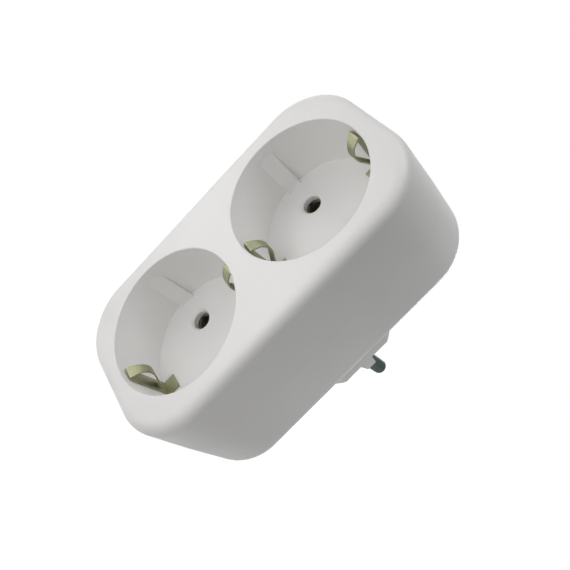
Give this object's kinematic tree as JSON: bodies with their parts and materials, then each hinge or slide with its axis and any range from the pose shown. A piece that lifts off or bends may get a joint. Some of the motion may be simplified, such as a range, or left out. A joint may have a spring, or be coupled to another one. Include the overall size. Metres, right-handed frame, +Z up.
{
  "type": "multi socket adapter",
  "caption": "Moulded wall-plug adaptor: round recessed sockets with sprung brass side earth contacts in a rounded case, with a round-pin plug at the back.",
  "frame": {"origin": "midway between the plug pins, on the end face of the plug boss that meets the wall socket", "axes": "+Z up along the case, +X to the right seen from the front, +Y towards the wall along the pins"},
  "size_m": [0.0514, 0.0775, 0.0956],
  "materials": {
    "white_plastic": "moulded, satin",
    "brass": "stamped sheet",
    "plated_pin": "turned and nickel plated",
    "screw_steel": "zinc plated"
  },
  "bodies": {
    "root": {"front_cover": "white_plastic", "rear_housing": "white_plastic", "right_pin": "plated_pin", "left_pin": "plated_pin", "right_case_screw": "screw_steel", "left_case_screw": "screw_steel", "upper_well_top_clip": "brass", "upper_well_bottom_clip": "brass", "lower_well_top_clip": "brass", "lower_well_bottom_clip": "brass", "top_plug_earth_strip": "brass", "bottom_plug_earth_strip": "brass", "right_busbar": "brass", "left_busbar": "brass", "earth_bar": "brass", "upper_right_contact": "brass", "upper_left_contact": "brass", "lower_right_contact": "brass", "lower_left_contact": "brass", "contact_rivets": "brass", "clip_rivets": "brass", "plug_strip_rivets": "brass"}
  },
  "joints": []
}
